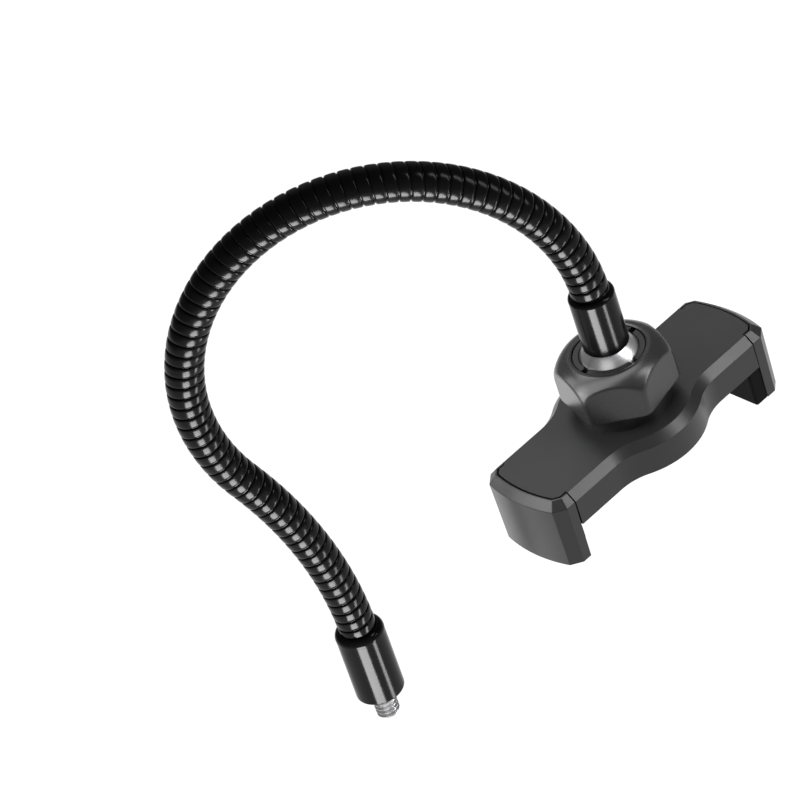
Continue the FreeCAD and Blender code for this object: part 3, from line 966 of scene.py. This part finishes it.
class NutShape:
    """The nut's outside: six flats under a round crown, with every edge rounded."""

    SIDE = math.pi / 3

    def __init__(self, nut):
        low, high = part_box("lock_nut")
        self.bottom, self.top = low.z, high.z
        self.edge, self.corner_edge, self.crown_edge = nut.edge, nut.corner_edge, nut.crown_edge
        self.lid = slope_normal(nut.lid_slope)
        self.wall = slope_normal(nut.wall_slope)
        self.apothem = nut.flats / 2
        self.corner = self.apothem / math.cos(self.SIDE / 2)
        self.foot = self.corner - nut.foot_bevel
        rounded_corner = self.corner - nut.corner_edge * (1 - math.sqrt(0.5)) / math.cos(self.SIDE / 2)
        self.shoulder = Vector((rounded_corner, self.bottom + nut.skirt_height))
        self.rim = Vector((nut.top_radius, self.top))

    def crown_gap(self, point):
        """How far a point lies outside the crown: steep at the corners, gentle beside the level top."""
        slopes = [(point - self.rim).dot(self.lid), (point - self.shoulder).dot(self.wall)]
        return max(rounded_meeting(slopes, self.crown_edge), point.y - self.top)

    def distance(self, point, turn):
        """How far a point (radius, height) lies outside, at a turn from a flat's middle."""
        radius, height = point
        flats = [radius * math.cos(angle) - self.apothem for angle in (turn, self.SIDE - turn)]
        foot = (radius - self.foot - (height - self.bottom)) * math.sqrt(0.5)
        sides = rounded_meeting(flats, self.corner_edge)
        return rounded_meeting([sides, self.crown_gap(point), self.bottom - height, foot], self.edge)

    def surface(self, start, toward, turn):
        """Where a ray from inside leaves the nut."""
        inside, outside = 0.0, 2 * self.corner
        for _ in range(RAY_HALVINGS):
            middle = (inside + outside) / 2
            if self.distance(start + toward * middle, turn) < 0:
                inside = middle
            else:
                outside = middle
        return start + toward * inside


# Rays that trace the nut's outline from its foot to its crown, as (first degree, last degree, count) and
# closest where its edges turn, and the count of those from there to its mouth
OUTLINE_RAYS = ((-90, -60, 6), (-60, -35, 16), (-35, 25, 10), (25, 82, 64))
MOUTH_RAYS = 20


def nut_form(nut):
    """The hexagonal nut with its round crown, and a bore that closes in towards its mouth."""
    shape = NutShape(nut)
    heart = Vector((nut.bore_radius + nut.edge, shape.bottom + nut.skirt_height / 2))
    inner_rim = Vector((nut.mouth_radius + nut.edge, shape.top))
    steepest = math.degrees(math.atan2(inner_rim.y - heart.y, inner_rim.x - heart.x))
    spans = (*OUTLINE_RAYS, (OUTLINE_RAYS[-1][1], steepest, MOUTH_RAYS))
    degrees = [first + (last - first) * k / count for first, last, count in spans for k in range(count)]
    angles = [math.radians(degree) for degree in degrees + [steepest]]
    rays = [Vector((math.cos(angle), math.sin(angle))) for angle in angles]
    mouth_height = shape.top - nut.edge / 2
    bore = [
        Vector((nut.mouth_radius, mouth_height)),
        Vector((nut.bore_radius, mouth_height - nut.taper_height)),
        Vector((nut.bore_radius, shape.bottom)),
    ]
    outlines = []
    for step in range(HALF_FLAT_STEPS + 1):
        turn = shape.SIDE / 2 * step / HALF_FLAT_STEPS
        outlines.append([shape.surface(heart, ray, turn) for ray in rays] + bore)
    axis = Vector((BALL_CENTRE.x, BALL_CENTRE.y, 0))
    flat_steps = 2 * HALF_FLAT_STEPS
    rows = []
    for k, angle in enumerate(round_angles(6 * flat_steps)):
        share = k % flat_steps
        outline = outlines[min(share, flat_steps - share)]
        heading = nut.heading + shape.SIDE / 2 + angle
        out = Vector((math.cos(heading), math.sin(heading), 0))
        rows.append([axis + out * radius + UP * height for radius, height in outline])
    form = bmesh.new()
    made = add_strip(form, rows)
    join_rows(form, made[-1], made[0])
    return form


SCREW_TIP = 0.6          # width of a screw's blunt tip, as a share of its shank


def loop_edges(form, corners):
    """The edges round a closed row of corners."""
    count = len(corners)
    return [form.edges.get((corners[k], corners[(k + 1) % count])) for k in range(count)]


def screw_form(place, screw):
    """One screw with a cross drive in its flush head, pointing up from its head's face."""
    outline = (
        (screw.head_radius - screw.edge, 0.0),
        (screw.head_radius, screw.edge),
        (screw.head_radius, screw.head_height),
        (screw.shank_radius, screw.head_height),
        (screw.shank_radius, screw.length - screw.edge),
        (screw.shank_radius * SCREW_TIP, screw.length),
    )
    rings = [level_ring(radius, height, SCREW_SIDES) for radius, height in outline]
    form = bmesh.new()
    turned = add_strip(form, [[place + point for point in ring] for ring in rings])
    form.faces.new(turned[-1])
    half_span, half_width = screw.drive_span / 2, screw.drive_width / 2
    cross = []
    for quarter in range(4):
        turn = Matrix.Rotation(quarter * math.pi / 2, 3, "Z")
        for x, y in ((half_span, -half_width), (half_span, half_width), (half_width, half_width)):
            cross.append(place + turn @ Vector((x, y, 0)))
    drive = add_strip(form, [cross, [point + UP * screw.drive_depth for point in cross]])
    form.faces.new(drive[-1])
    face_edges = loop_edges(form, turned[0]) + loop_edges(form, drive[0])
    bmesh.ops.triangle_fill(form, use_beauty=True, edges=face_edges)
    return form


# Operators


class SELFIESTICK_OT_neck(bpy.types.Operator):
    """Wind the bendable neck between its two sleeves"""

    bl_idname = "selfie_stick.neck"
    bl_label = "Neck"

    def execute(self, context):
        neck = context.scene.selfie_stick.neck
        form, route = wound_neck(neck)
        piece = new_piece("wound_neck", form, "gooseneck", ride=False)
        start, end = blend_limits(route, neck)
        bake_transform(piece)
        return {"FINISHED"}


class SELFIESTICK_OT_ends(bpy.types.Operator):
    """Turn the arm's metal ends: threaded stud, two sleeves and the ball"""

    bl_idname = "selfie_stick.ends"
    bl_label = "Arm Ends"

    def execute(self, context):
        settings = context.scene.selfie_stick
        new_piece("threaded_stud", stud_form(settings.stud), "mount_stud")
        for node in ("lower_sleeve", "upper_sleeve"):
            softened_piece(node, settings.edges.sleeve)
        new_piece("bright_ball", welded_form("ball_stud"), "ball_stud")
        return {"FINISHED"}


class SELFIESTICK_OT_mouldings(bpy.types.Operator):
    """Soften the edges of the clamp's cover, back plate and jaws"""

    bl_idname = "selfie_stick.mouldings"
    bl_label = "Clamp Mouldings"

    def execute(self, context):
        edge = context.scene.selfie_stick.edges.moulding
        for node in ("top_cover", "back_plate", "left_jaw", "right_jaw"):
            softened_piece(node, edge)
        return {"FINISHED"}


class SELFIESTICK_OT_nut(bpy.types.Operator):
    """Round the edges of the hexagonal nut"""

    bl_idname = "selfie_stick.nut"
    bl_label = "Lock Nut"

    def execute(self, context):
        form = nut_form(context.scene.selfie_stick.nut)
        new_piece("round_edged_nut", form, "lock_nut")
        return {"FINISHED"}


class SELFIESTICK_OT_pads(bpy.types.Operator):
    """Mould the rubber pads on the jaws, under the phone and in the socket"""

    bl_idname = "selfie_stick.pads"
    bl_label = "Rubber Pads"

    def execute(self, context):
        edge = context.scene.selfie_stick.edges.rubber
        for node in ("right_grip_pad", "left_grip_pad", "phone_pad", "socket_pad"):
            softened_piece(node, edge)
        return {"FINISHED"}


class SELFIESTICK_OT_screws(bpy.types.Operator):
    """Cut a cross drive in each cover screw"""

    bl_idname = "selfie_stick.screws"
    bl_label = "Cover Screws"

    def execute(self, context):
        screw = context.scene.selfie_stick.screw
        low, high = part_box("cover_screws")
        for k in range(4):
            x = (low.x + screw.head_radius, high.x - screw.head_radius)[k % 2]
            y = (low.y + screw.head_radius, high.y - screw.head_radius)[k // 2]
            form = screw_form(Vector((x, y, low.z)), screw)
            new_piece(f"cover_screw_{k + 1}", form, "cover_screws")
        return {"FINISHED"}


class SELFIESTICK_OT_springs(bpy.types.Operator):
    """Coil the springs that pull the jaws together"""

    bl_idname = "selfie_stick.springs"
    bl_label = "Jaw Springs"

    def execute(self, context):
        spring = context.scene.selfie_stick.spring
        for side in ("right", "left"):
            for row in ("front", "rear"):
                node = f"{side}_{row}_spring"
                piece = new_piece(node + "_coil", spring_form(node, spring), node)
                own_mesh(piece)
        return {"FINISHED"}


def lit_group(name, pieces):
    """Pieces that a softbox can be kept to."""
    group = bpy.data.collections.new(name)
    for piece in pieces:
        group.objects.link(piece)
    return group


def area_light(name, target, direction, distance, size, power, only):
    """A softbox that faces a point from a direction, kept to a group of pieces where one is given."""
    light = bpy.data.lights.new(name, "AREA")
    light.shape = "RECTANGLE"
    light.size, light.size_y = size
    light.energy = power
    lamp = bpy.data.objects.new(name, light)
    bpy.context.scene.collection.objects.link(lamp)
    toward = Vector(direction).normalized()
    lamp.location = target + toward * distance
    lamp.rotation_euler = toward.to_track_quat("Z", "Y").to_euler()
    lamp.visible_camera = False
    lamp.light_linking.receiver_collection = only


def add_softboxes(stage, target):
    """The studio's softboxes: two for every piece, the others kept to the clamp, nut, arm or metal."""
    pieces = [o for o in bpy.context.scene.objects if o.type == "MESH" and o.visible_get()]
    arm = lit_group("Lit Arm", [piece for piece in pieces if piece.name in BLACK_ARM])
    metal = lit_group("Lit Metal", [piece for piece in pieces if piece.name in BRIGHT_METAL])
    nut = lit_group("Lit Nut", [piece for piece in pieces if piece.name in NUT])
    others = [piece for piece in pieces if piece.name not in BLACK_ARM + BRIGHT_METAL]
    clamp = lit_group("Lit Clamp", others)
    stem = Vector((0, 0, CAD_BOX[1].z / 2))
    above = target + OVERHEAD_SHIFT
    # Name, point faced, direction from it, distance, width and height, power, group lit
    softboxes = (
        ("Key", target, (0.46, -0.65, 0.60), 0.8, (0.2, 0.6), stage.key_power, None),
        ("Overhead", above, (0, 0, 1), 0.6, (1.26, 0.72), stage.overhead_power, clamp),
        ("Side", target, (-0.68, 0.60, 0.42), 0.8, (0.66, 0.43), stage.side_power, clamp),
        ("Low", target, (-0.35, 0.72, -0.6), 0.5, (0.6, 0.5), stage.low_power, clamp),
        ("Nut Left", target, (-0.93, 0.32, 0.12), 0.6, (0.3, 0.45), stage.nut_power, nut),
        ("Nut Right", target, (0.45, -0.84, 0.25), 0.6, (0.12, 0.3), stage.nut_fill_power, nut),
        ("Arm Front", stem, (-0.586, -0.527, -0.616), 0.6, (0.3, 0.3), stage.arm_power, arm),
        ("Arm Right", stem, (0.204, -0.761, -0.616), 0.6, (0.1, 0.3), stage.arm_rim_power, arm),
        ("Front", target, (-0.75, -0.45, 0.48), 0.8, (0.6, 0.6), stage.front_power, metal),
        ("Back", target, (0.46, 0.63, 0.62), 0.9, (0.8, 0.8), stage.back_power, None),
    )
    for softbox in softboxes:
        area_light(*softbox)


def add_walls(brightness):
    """Even white walls all round."""
    world = bpy.data.worlds.new("Studio")
    world.use_nodes = True
    background = world.node_tree.nodes["Background"]
    background.inputs["Color"].default_value = (1, 1, 1, 1)
    background.inputs["Strength"].default_value = brightness
    bpy.context.scene.world = world


def add_camera(stage, target):
    """A camera that shows a point at its pixel in the photograph."""
    back = Vector((
        math.sin(stage.azimuth) * math.cos(stage.elevation),
        -math.cos(stage.azimuth) * math.cos(stage.elevation),
        math.sin(stage.elevation),
    ))
    level = Vector((math.cos(stage.azimuth), math.sin(stage.azimuth), 0))
    upright = back.cross(level)
    right = level * math.cos(stage.roll) - upright * math.sin(stage.roll)
    up = level * math.sin(stage.roll) + upright * math.cos(stage.roll)
    facing = Matrix((right, up, back)).transposed()
    focal_pixels = stage.lens / SENSOR_WIDTH * IMAGE_SIDE
    x, y = stage.aim_pixel
    ray = Vector(((x - IMAGE_SIDE / 2) / focal_pixels, (IMAGE_SIDE / 2 - y) / focal_pixels, -1))
    aim = ray.rotation_difference(Vector((0, 0, -1))).to_matrix()
    data = bpy.data.cameras.new("Camera")
    data.sensor_width = SENSOR_WIDTH
    data.lens = stage.lens
    camera = bpy.data.objects.new("Camera", data)
    bpy.context.scene.collection.objects.link(camera)
    camera.matrix_world = Matrix.Translation(target + back * stage.distance) @ (facing @ aim).to_4x4()
    bpy.context.scene.camera = camera


def add_floor(level, glow):
    """A wide pale floor."""
    form = bmesh.new()
    corners = ((-1, -1), (1, -1), (1, 1), (-1, 1))
    form.faces.new([form.verts.new((x * FLOOR_HALF, y * FLOOR_HALF, level)) for x, y in corners])
    mesh = bpy.data.meshes.new("studio_floor")
    form.to_mesh(mesh)
    form.free()
    floor = bpy.data.objects.new("studio_floor", mesh)
    bpy.context.scene.collection.objects.link(floor)
    material, surface, _ = new_finish("Studio Floor")
    surface.inputs["Base Color"].default_value = opaque(FLOOR_BASE)
    surface.inputs["Roughness"].default_value = FLOOR_ROUGHNESS
    surface.inputs["Specular IOR Level"].default_value = 0.0
    surface.inputs["Emission Color"].default_value = opaque(bpy.context.scene.selfie_stick.finish.floor)
    surface.inputs["Emission Strength"].default_value = glow
    mesh.materials.append(material)


class SELFIESTICK_OT_stage(bpy.types.Operator):
    """Set the pale floor, the softboxes and the camera"""

    bl_idname = "selfie_stick.stage"
    bl_label = "Stage"

    def execute(self, context):
        stage = context.scene.selfie_stick.stage
        target = Vector((BALL_CENTRE.x, BALL_CENTRE.y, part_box("left_jaw")[1].z))
        add_camera(stage, target)
        add_floor(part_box("mount_stud")[0].z - stage.floor_drop, stage.floor_glow)
        add_softboxes(stage, target)
        add_walls(stage.sky)
        context.scene.view_settings.view_transform = "Standard"
        return {"FINISHED"}


OPERATORS = (
    SELFIESTICK_OT_neck,
    SELFIESTICK_OT_ends,
    SELFIESTICK_OT_mouldings,
    SELFIESTICK_OT_nut,
    SELFIESTICK_OT_pads,
    SELFIESTICK_OT_screws,
    SELFIESTICK_OT_springs,
    SELFIESTICK_OT_stage,
)


class SELFIESTICK_PT_panel(bpy.types.Panel):
    """Lists the pieces that can be made"""

    bl_idname = "SELFIESTICK_PT_panel"
    bl_label = "Selfie Stick"
    bl_space_type = "VIEW_3D"
    bl_region_type = "UI"
    bl_category = "Selfie Stick"

    def draw(self, context):
        for operator in OPERATORS:
            self.layout.operator(operator.bl_idname)
        settings = context.scene.selfie_stick
        groups = (
            settings.neck, settings.stud, settings.screw, settings.spring, settings.nut,
            settings.edges, settings.finish, settings.stage,
        )
        for group in groups:
            box = self.layout.box()
            for name in group.__annotations__:
                box.prop(group, name)


CLASSES = (
    NeckSettings,
    StudSettings,
    ScrewSettings,
    SpringSettings,
    NutSettings,
    EdgeSettings,
    FinishSettings,
    StageSettings,
    SelfieStickSettings,
    *OPERATORS,
    SELFIESTICK_PT_panel,
)


def register():
    for cls in CLASSES:
        bpy.utils.register_class(cls)
    bpy.types.Scene.selfie_stick = PointerProperty(
        type=SelfieStickSettings, name="Selfie Stick", description="Sizes, colours and stage"
    )


def unregister():
    del bpy.types.Scene.selfie_stick
    for cls in reversed(CLASSES):
        bpy.utils.unregister_class(cls)


def main():
    register()
    bpy.ops.selfie_stick.neck()
    bpy.ops.selfie_stick.ends()
    bpy.ops.selfie_stick.mouldings()
    bpy.ops.selfie_stick.nut()
    bpy.ops.selfie_stick.pads()
    bpy.ops.selfie_stick.screws()
    bpy.ops.selfie_stick.springs()
    bpy.ops.selfie_stick.stage()


if __name__ == "__main__":
    main()
